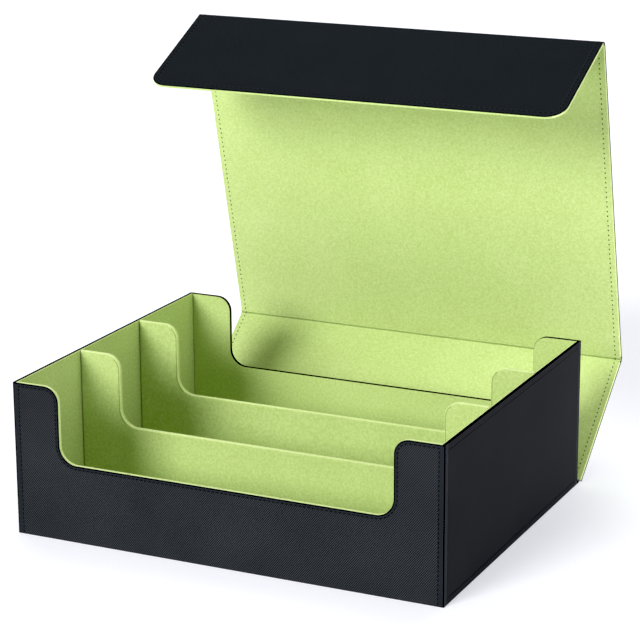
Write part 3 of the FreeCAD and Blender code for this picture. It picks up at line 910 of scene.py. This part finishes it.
class CARDBOX_OT_base(bpy.types.Operator):
    """Base: the leather underneath, turned up the sides, and the floor's suede"""
    bl_idname = "cardbox.base"
    bl_label = "Base"

    def execute(self, context):
        sizes = tray()
        base = slab("base_leather", (-SIDE, SIDE), (-END, BASE_REAR), (0.0, TURN_END))
        carve(base, slab("inside", (-SIDE_BOARD_OUT, SIDE_BOARD_OUT),
                         (-END - BEYOND, BASE_REAR + BEYOND), (LEATHER, TOP)))
        for end in (-1, 1):
            carve(base, slab("spare", (-SIDE - BEYOND, SIDE + BEYOND),
                             (end * WRAP_END, end * (BASE_REAR + BEYOND)), (LEATHER, TOP)))
        round_edges(base, lambda a, b: near(0, a.z, b.z) and a.y < END
                    and not near(BASE_REAR, a.y, b.y), sizes.base_round, segments=3)
        leather_piece(base, "tray", "smooth_leather", "base_skin")
        floor = slab("floor_suede", (-SIDE_BOARD_IN, SIDE_BOARD_IN),
                     (-END_BOARD_IN, END_BOARD_IN), (FLOOR_BOARD_TOP, FLOOR))
        round_edges(floor, lambda a, b: near(FLOOR, a.z, b.z), sizes.suede_round, segments=2)
        suede_piece(floor, "tray", "floor_lining")
        return {"FINISHED"}


class CARDBOX_OT_dividers(bpy.types.Operator):
    """Dividers: two suede halves with soft edges that meet in a seam on top"""
    bl_idname = "cardbox.dividers"
    bl_label = "Dividers"

    def execute(self, context):
        for name in ("front", "rear"):
            for half, way in (("front", -1), ("rear", 1)):
                self.half(name, half, way)
        return {"FINISHED"}

    def half(self, name, half, way):
        """One half, which lies one way along Y from the middle of its divider."""
        sizes = tray()
        edge = sizes.divider_low_edge
        reach = SIDE_IN - sizes.end_gap
        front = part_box(f"{name}_divider_front_lining")[0].y
        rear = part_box(f"{name}_divider_rear_lining")[1].y
        middle = (front + rear) / 2

        def on_top(a, b):
            return min(a.z, b.z) > edge - MM / 2

        def at_end(a, b):
            return near(abs(a.x), reach) and near(a.x, b.x)

        wall = notched(f"{name}_divider_{half}_suede", reach, (front, rear), FLOOR, edge)
        round_edges(wall, lambda a, b: near(a.y, b.y) and (near(a.y, front) or near(a.y, rear))
                    and (at_end(a, b) or on_top(a, b)), sizes.divider_round, segments=4)
        cut_off(wall, (0, middle, 0), (0, -way, 0))
        round_edges(wall, lambda a, b: near(middle, a.y, b.y) and on_top(a, b)
                    and not at_end(a, b), sizes.divider_seam, segments=2)
        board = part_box(f"{name}_divider_board")
        outer = board[0].y if way < 0 else board[1].y
        carve(wall, notched("board", board[1].x, sorted((outer, middle - way * MM)),
                            FLOOR - BEYOND, edge, trim=SUEDE))
        suede_piece(wall, "tray", f"{name}_divider_{half}_lining")
        # Painted highlight: the divider's top and rounded edges are a paler copy.
        paint(wall, "folded_microsuede", lambda face: abs(face.normal.y) < 0.8
              and face.center.z > edge - MM / 2 and abs(face.center.x) < SIDE_IN - MM)
        # Painted shade: a darker line of suede where a post's soft upright edge leaves the front
        # face.
        paint(wall, "pressed_microsuede", lambda face: 0.95 < -face.normal.y < 0.995
              and abs(face.normal.x) > 0.12 and face.center.z > edge + MM
              and abs(face.center.x) < SIDE_IN - MM)


# ----------------------------------------------------------------- the cover


def inner_face():
    """Height of the suede's face above the middle of the cover's leather."""
    sizes = cover()
    return sizes.leather / 2 + sizes.board + sizes.suede


def flat_panel(name, half, span, heights, radius=None):
    """A flat sheet, with its two corners at the end of its span rounded if it has a radius."""
    sheet = slab(name, (-half, half), span, heights)
    if radius:
        round_edges(sheet, lambda a, b: near(span[1], a.y, b.y) and near(a.x, b.x),
                    radius, segments=14)
    return sheet


class Panel:
    """A panel, built flat: X along its width, Y away from its fold line, Z to its inner face."""

    def __init__(self, name, body, spot, tilt, start, end):
        self.name, self.body, self.spot, self.tilt = name, body, spot, tilt
        self.start, self.end, self.free = start, end, name == "flap"
        self.span = (start - OVERRUN, end if self.free else end + OVERRUN)
        self.radius = cover().flap_radius if self.free else None

    def tool_span(self, rim):
        """Past the panel's layers, or for the flap up to a rim along its free edge."""
        return (self.span[0] - OVERRUN, self.end - rim if self.free else self.span[1] + OVERRUN)

    def finish(self, piece, slot, name, edge_name, edge_test, node):
        """Cuts a layer to length, paints its edges with painted shade or a painted highlight,
        and puts it in its place.
        """
        self.trim_ends(piece)
        paint(piece, edge_name, edge_test)
        settle(piece, self.spot, self.tilt)
        smooth(piece)
        dress(piece, name, [node])
        self.carry(piece)

    def trim_ends(self, piece):
        """Cuts a layer to length, and divides the strip at the top panel's far end into bands.
        """
        cut_off(piece, (0, self.start, 0), (0, -1, 0))
        if not self.free:
            cut_off(piece, (0, self.end, 0), (0, 1, 0))
        if self.name == "top_panel":
            for share in (1.0, 0.75, 0.5, 0.25):
                open_edit(piece)
                bpy.ops.mesh.bisect(plane_co=(0, self.end - cover().fold_reach * share, 0),
                                    plane_no=(0, 1, 0))
                close_edit()
        tidy(piece)
        lay_sheet(piece)

    def carry(self, piece):
        """Puts a layer on its body; the top panel's layers stay fixed where they are built, on
        no body.
        """
        body, turn = self.body, Matrix.Rotation(self.tilt, 4, "X")
        if self.name != "top_panel":
            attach(piece, body)
            return
        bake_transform(piece)


def panels():
    """The three panels from the hinge to the free edge."""
    sizes = cover()
    return (
        Panel("back_panel", "cover_back", HINGE, BACK_ANGLE, sizes.hinge_setback,
              BACK_RUN - sizes.top_setback),
        Panel("top_panel", "cover_top", TOP_FOLD, TOP_ANGLE, sizes.top_setback,
              TOP_RUN - sizes.flap_setback),
        Panel("flap", "cover_flap", FLAP_FOLD, TOP_ANGLE + sizes.flap_turn, sizes.flap_setback,
              sizes.flap_length),
    )


class CARDBOX_OT_cover_leather(bpy.types.Operator):
    """Cover leather: three panels with a turned-up lip and a seam round their free edges"""
    bl_idname = "cardbox.cover_leather"
    bl_label = "Cover leather"

    def execute(self, context):
        sizes = cover()
        for panel in panels():
            skin = self.shape(panel)
            # Painted shade on the rolled edge and a painted highlight in the groove, as on the
            # front wall.
            coat(skin, "cover_leather", "edge_leather", "cover_leather", "seam_leather")
            sink_seam(skin, broad(2, -1), sizes.rim, sizes.hem - sizes.rim, sizes.seam_width,
                      sizes.seam_depth)
            # Painted shade: every face that doesn't look outward, the lip and the edges, is
            # near-black.
            panel.finish(skin, "black_leather", "cover_leather", "edge_leather",
                         lambda face: face.normal.z > -MOSTLY, f"{panel.name}_skin")
        return {"FINISHED"}

    def shape(self, panel):
        sizes = cover()
        outer, inner = -sizes.leather / 2, sizes.leather / 2
        name = f"{panel.name}_leather"
        if panel.free:
            skin = flat_panel(name, COVER_SIDE - sizes.flap_lip, panel.span, (outer, inner),
                              panel.radius - sizes.flap_lip)
        else:
            skin = flat_panel(name, COVER_SIDE, panel.span, (outer, inner + sizes.lip_height))
            carve(skin, flat_panel("bed", COVER_SIDE - sizes.lip, panel.tool_span(0.0),
                                   (inner, inner + BEYOND)))
        round_edges(skin, lambda a, b: near(outer, a.z, b.z)
                    and not near(panel.span[0], a.y, b.y), sizes.leather_round, segments=3)
        return skin


class CARDBOX_OT_cover_suede(bpy.types.Operator):
    """Cover suede: three panels of lining wrapped round the boards' edges"""
    bl_idname = "cardbox.cover_suede"
    bl_label = "Cover suede"

    def execute(self, context):
        for panel in panels():
            lining = self.shape(panel)
            coat(lining, "green_microsuede")
            # Painted highlight: the lining's edges are a paler copy.
            panel.finish(lining, "green_suede", "green_microsuede", "folded_microsuede",
                         lambda face: -0.5 < face.normal.z < MOSTLY
                         and abs(face.normal.y) < MOSTLY, f"{panel.name}_lining")
        return {"FINISHED"}

    def shape(self, panel):
        sizes = cover()
        low, high = sizes.leather / 2, inner_face() - sizes.hem_fall
        half = COVER_SIDE if panel.free else COVER_SIDE - sizes.lip
        lining = flat_panel(f"{panel.name}_suede", half, panel.span, (low, high), panel.radius)
        round_edges(lining, lambda a, b: near(high, a.z, b.z), sizes.suede_round, segments=3)
        pick(lining, "FACE", broad(2, 1))
        bpy.ops.mesh.inset(thickness=sizes.hem, depth=sizes.hem_fall)
        close_edit()
        carve(lining, flat_panel("board", COVER_SIDE - sizes.board_rim,
                                 panel.tool_span(sizes.board_rim),
                                 (low - BEYOND, low + sizes.board),
                                 panel.radius - sizes.board_rim if panel.free else None))
        return lining


def swept(name, half, path, thickness):
    """A sheet that follows a path seen from the side, thickened to the path's right."""
    first, here = path[0], path[1]
    run = here - first
    bpy.ops.object.select_all(action="DESELECT")
    bpy.ops.mesh.primitive_plane_add(size=1.0, location=(0.0, *((first + here) / 2)),
                                     rotation=(math.atan2(run.y, run.x), 0.0, 0.0))
    bpy.context.active_object.scale = (2 * half, run.length, 1.0)
    sheet = named(name)
    for point in path[2:]:
        step = point - here
        pick(sheet, "EDGE", lambda a, b: near(here.x, a.y, b.y) and near(here.y, a.z, b.z))
        bpy.ops.mesh.extrude_region_move(
            TRANSFORM_OT_translate={"value": (0.0, step.x, step.y)})
        close_edit()
        here = point
    run_map(sheet, path)
    modify(sheet, "SOLIDIFY", thickness=thickness, offset=-1.0, use_even_offset=True)
    return sheet


def run_map(sheet, path):
    """Lays the pattern's map along the path, in metres."""
    reached = [0.0]
    for a, b in zip(path, path[1:]):
        reached.append(reached[-1] + (b - a).length)
    layer = sheet_map(sheet)
    for loop in sheet.data.loops:
        place = sheet.data.vertices[loop.vertex_index].co
        gaps = [(place.yz - point).length for point in path]
        layer.data[loop.index].uv = (place.x, reached[gaps.index(min(gaps))])


class Fold:
    """A fold of the cover: where it lies, how far it turns, and what it joins."""

    def __init__(self, name, bodies, spot, tilt, turn, setback):
        self.name, self.bodies, self.spot = name, bodies, spot
        self.tilt, self.turn, self.setback = tilt, turn, setback
        self.bend = setback / math.tan(turn / 2)

    def arc(self, depth, steps=10):
        """The path of a layer at a depth from the middle of the leather."""
        radius = self.bend - depth
        swings = [self.turn * step / steps for step in range(steps + 1)]
        return [Vector((-self.setback + radius * math.sin(swing),
                        self.bend - radius * math.cos(swing))) for swing in swings]

    def lining_path(self):
        """The path of the suede's face, which is pinched in a crease on the top fold."""
        sizes = cover()
        depth = inner_face()
        if self.name != "top_fold":
            return self.arc(depth)
        half = self.turn / 2
        meet = Vector((-depth * math.tan(half), depth))
        leaving = Vector((math.cos(self.turn), math.sin(self.turn)))
        towards = Vector((math.sin(half), -math.cos(half)))
        inner = Vector((-math.sin(self.turn), math.cos(self.turn)))
        return [Vector((-self.setback, depth)), meet - Vector((sizes.crease_mouth, 0.0)),
                meet + towards * sizes.crease_dip, meet + leaving * sizes.crease_mouth,
                leaving * self.setback + inner * depth]

    def place(self, point):
        """A point of the side view in the frame."""
        turn = Matrix.Rotation(self.tilt, 4, "X")
        return self.spot + turn @ Vector((0.0, point.x, point.y))

    def join(self, piece, depth):
        """Puts a piece in its place at the fold, smooths it and fixes it there, on no body."""
        settle(piece, self.spot, self.tilt)
        smooth(piece)
        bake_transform(piece)


def folds():
    """The hinge, which has no suede, and the two folds that have."""
    sizes = cover()
    return (
        Fold("hinge", ("tray", "cover_back"), HINGE, 0.0, BACK_ANGLE, sizes.hinge_setback),
        Fold("top_fold", ("cover_back", "cover_top"), TOP_FOLD, BACK_ANGLE,
             TOP_ANGLE - BACK_ANGLE, sizes.top_setback),
        Fold("flap_fold", ("flap_fold", "cover_flap"), FLAP_FOLD, TOP_ANGLE,
             sizes.flap_turn, sizes.flap_setback),
    )


class CARDBOX_OT_cover_folds(bpy.types.Operator):
    """Cover folds: the leather and the suede that bend between the panels"""
    bl_idname = "cardbox.cover_folds"
    bl_label = "Cover folds"

    def execute(self, context):
        for fold in folds():
            self.skin(fold)
        for fold in folds()[1:]:
            self.lining(fold)
        return {"FINISHED"}

    def skin(self, fold):
        sizes = cover()
        half = {"hinge": SIDE, "top_fold": COVER_SIDE,
                "flap_fold": COVER_SIDE - sizes.flap_lip}[fold.name]
        depth = sizes.leather / 2
        skin = swept(f"{fold.name}_leather", half, fold.arc(depth), sizes.leather)
        dress(skin, "cover_leather", [f"{fold.name}_skin"])
        fold.join(skin, depth)

    def lining(self, fold):
        sizes = cover()
        path = fold.lining_path()
        lining = swept(f"{fold.name}_suede", COVER_SIDE - sizes.lip, path, sizes.suede)
        coat(lining, "green_microsuede", "pressed_microsuede")
        # Painted shade: the suede round the bottom of the crease is a darker copy.
        if fold.name == "top_fold":
            vertices = lining.data.vertices
            paint(lining, "pressed_microsuede", lambda face: all(
                (vertices[index].co.yz - path[2]).length < sizes.crease_dip * 1.3
                for index in face.vertices))
        dress(lining, "green_microsuede", [f"{fold.name}_lining"])
        fold.join(lining, inner_face())


class CARDBOX_OT_cover_seams(bpy.types.Operator):
    """Cover seams: stitches along the free edges, on the leather and on the suede"""
    bl_idname = "cardbox.cover_seams"
    bl_label = "Cover seams"

    def execute(self, context):
        for panel in panels():
            for side in ("leather", "suede"):
                row = self.panel_row(panel, side)
                settle(row, panel.spot, panel.tilt)
                body = panel.body
                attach(row, body)
        for fold in folds()[1:]:
            for side in ("leather", "suede"):
                self.fold_row(fold, side)
        return {"FINISHED"}

    def look(self, side):
        """The height of a side's seam, the way up from it, and its stitches."""
        sizes = cover()
        if side == "leather":
            return (-sizes.leather / 2 + sizes.seam_depth, Vector((0, 0, -1)),
                    ((sizes.stitch_length, sizes.thread, sizes.thread_spread),
                     "black_thread", "black_leather"))
        return (inner_face(), Vector((0, 0, 1)),
                ((sizes.dot_length, sizes.thread, sizes.dot_spread),
                 "green_thread", "green_suede"))

    def inset(self):
        """How far a seam's middle is from the cover's edge."""
        return cover().hem + cover().seam_width / 2

    def panel_row(self, panel, side):
        height, up, stitches = self.look(side)
        start, end, across = panel.start, panel.end, COVER_SIDE - self.inset()
        if panel.free:
            last, radius = end - self.inset(), panel.radius - self.inset()
            paths = [rounded_path([((-across, start, height), 0),
                                   ((-across, last, height), radius),
                                   ((across, last, height), radius),
                                   ((across, start, height), 0)])]
        else:
            paths = [[Vector((x, start, height)), Vector((x, end, height))]
                     for x in (-across, across)]
        spots = [(place, way, up) for path in paths
                 for place, way in along(path, cover().stitch_pitch)]
        return stitch_row(f"{panel.name}_{side}_stitching", spots, *stitches)

    def fold_row(self, fold, side):
        height, up, stitches = self.look(side)
        line = fold.arc(height) if side == "leather" else fold.lining_path()
        spots = []
        for x in (self.inset() - COVER_SIDE, COVER_SIDE - self.inset()):
            path = [Vector((x, *point)) for point in line]
            for place, way in along(path, cover().stitch_pitch):
                spots.append((place, way, Vector((1, 0, 0)).cross(way) * up.z))
        row = stitch_row(f"{fold.name}_{side}_stitching", spots, *stitches)
        fold.join(row, cover().leather / 2 if side == "leather" else inner_face())


class CARDBOX_OT_cores(bpy.types.Operator):
    """Cores: the boards and the magnets inside, which keep their own solids"""
    bl_idname = "cardbox.cores"
    bl_label = "Boards and magnets"

    def execute(self, context):
        for ending, look in (("_board", "pressed_grey_board"), ("_magnets", "nickel_plate")):
            for name, core in frame["nodes"].items():
                if name.endswith(ending):
                    for place in core.material_slots:
                        place.material = finish(look)
        return {"FINISHED"}


# ----------------------------------------------------------------- the stage


def aim(light, name, strength, way):
    """Names a light and turns it to shine one way."""
    light.name = name
    light.data.energy = strength
    light.rotation_mode = "QUATERNION"
    light.rotation_quaternion = way.to_track_quat("-Z", "Y")


class CARDBOX_OT_stage(bpy.types.Operator):
    """Stage: a pale floor, soft lights, white surroundings and the camera"""
    bl_idname = "cardbox.stage"
    bl_label = "Stage"

    def execute(self, context):
        settings = stage()
        self.floor(settings)
        self.sky(settings)
        for name in ("key", "fill", "rear", "top"):
            self.light(name, settings)
        for name in ("side", "front"):
            self.lamp(name, settings)
        self.camera(settings)
        self.picture(settings)
        return {"FINISHED"}

    def picture(self, settings):
        """Plain colours with a firm black."""
        view = bpy.context.scene.view_settings
        view.view_transform = "Standard"
        view.use_curve_mapping = True
        view.curve_mapping.black_level = (settings.black_level,) * 3
        view.curve_mapping.update()

    def floor(self, settings):
        bpy.ops.object.select_all(action="DESELECT")
        bpy.ops.mesh.primitive_plane_add(size=settings.floor_size, location=(0.0, 0.0, 0.0))
        floor = named("studio_floor")
        tree, shader = begin("studio_floor")
        plug(tree, shader, {
            "Base Color": shades(tree, noise(tree, 3.0), settings.floor, 0.99, 1.0),
            "Roughness": 0.9, "Specular IOR Level": 0.1,
            "Emission Color": (*settings.floor_glow, 1.0), "Emission Strength": 1.0})
        floor.data.materials.append(bpy.data.materials["studio_floor"])

    def sky(self, settings):
        world = bpy.data.worlds.new("studio")
        world.use_nodes = True
        tree = world.node_tree
        seen = add(tree, "ShaderNodeLightPath", {}).outputs["Is Camera Ray"]
        plug(tree, tree.nodes["Background"], {
            "Color": (1.0, 1.0, 1.0, 1.0),
            "Strength": between(tree, seen, settings.sky, settings.backdrop)})
        bpy.context.scene.world = world

    def light(self, name, settings):
        """A far, soft light that shines from a direction."""
        place = getattr(settings, f"{name}_place")
        bpy.ops.object.light_add(type="SUN", location=place)
        light = bpy.context.active_object
        light.data.angle = getattr(settings, f"{name}_spread")
        aim(light, f"{name}_light", getattr(settings, f"{name}_power"), -Vector(place))

    def lamp(self, name, settings):
        """A small soft lamp that reaches one part of the cover."""
        place = Vector(getattr(settings, f"{name}_place"))
        bpy.ops.object.light_add(type="SPOT", location=place)
        lamp = bpy.context.active_object
        lamp.data.spot_size = getattr(settings, f"{name}_cone")
        lamp.data.spot_blend = settings.lamp_blend
        lamp.data.shadow_soft_size = settings.lamp_size
        aim(lamp, f"{name}_lamp", getattr(settings, f"{name}_power"),
            Vector(getattr(settings, f"{name}_target")) - place)

    def camera(self, settings):
        turn, rise, roll = settings.camera_turn, settings.camera_rise, settings.camera_roll
        back = Vector((math.sin(turn) * math.cos(rise), -math.cos(turn) * math.cos(rise),
                       math.sin(rise)))
        right = (-back).cross(Vector((0, 0, 1))).normalized()
        up = right.cross(-back)
        leaning_right = right * math.cos(roll) + up * math.sin(roll)
        leaning_up = up * math.cos(roll) - right * math.sin(roll)
        bpy.ops.object.camera_add()
        camera = bpy.context.active_object
        camera.name = "studio_camera"
        axes = Matrix((leaning_right, leaning_up, back)).transposed().to_4x4()
        camera.matrix_world = Matrix.Translation(settings.camera_place) @ axes
        camera.data.lens = settings.camera_lens
        camera.data.clip_start = 0.05
        bpy.context.scene.camera = camera


STEPS = (CARDBOX_OT_front_wall, CARDBOX_OT_back_wall, CARDBOX_OT_side_walls, CARDBOX_OT_base,
         CARDBOX_OT_dividers, CARDBOX_OT_cover_leather, CARDBOX_OT_cover_suede,
         CARDBOX_OT_cover_folds, CARDBOX_OT_cover_seams, CARDBOX_OT_cores, CARDBOX_OT_stage)


class CARDBOX_PT_panel(bpy.types.Panel):
    """Lists the steps that build the card box"""
    bl_idname = "CARDBOX_PT_panel"
    bl_label = "Card box"
    bl_space_type = "VIEW_3D"
    bl_region_type = "UI"
    bl_category = "Card box"

    def draw(self, context):
        for step in STEPS:
            self.layout.operator(step.bl_idname)


SETTINGS = (("card_box_tray", TraySettings), ("card_box_cover", CoverSettings),
            ("card_box_finish", FinishSettings), ("card_box_stage", StageSettings))


def register():
    for kind in (*(group for _, group in SETTINGS), *STEPS, CARDBOX_PT_panel):
        bpy.utils.register_class(kind)
    for name, group in SETTINGS:
        setattr(bpy.types.Scene, name, PointerProperty(type=group))


def unregister():
    for name, _ in SETTINGS:
        delattr(bpy.types.Scene, name)
    for kind in reversed((*(group for _, group in SETTINGS), *STEPS, CARDBOX_PT_panel)):
        bpy.utils.unregister_class(kind)


def main():
    """Builds every piece in order."""
    register()
    for step in STEPS:
        group, name = step.bl_idname.split(".")
        getattr(getattr(bpy.ops, group), name)()


if __name__ == "__main__":
    main()
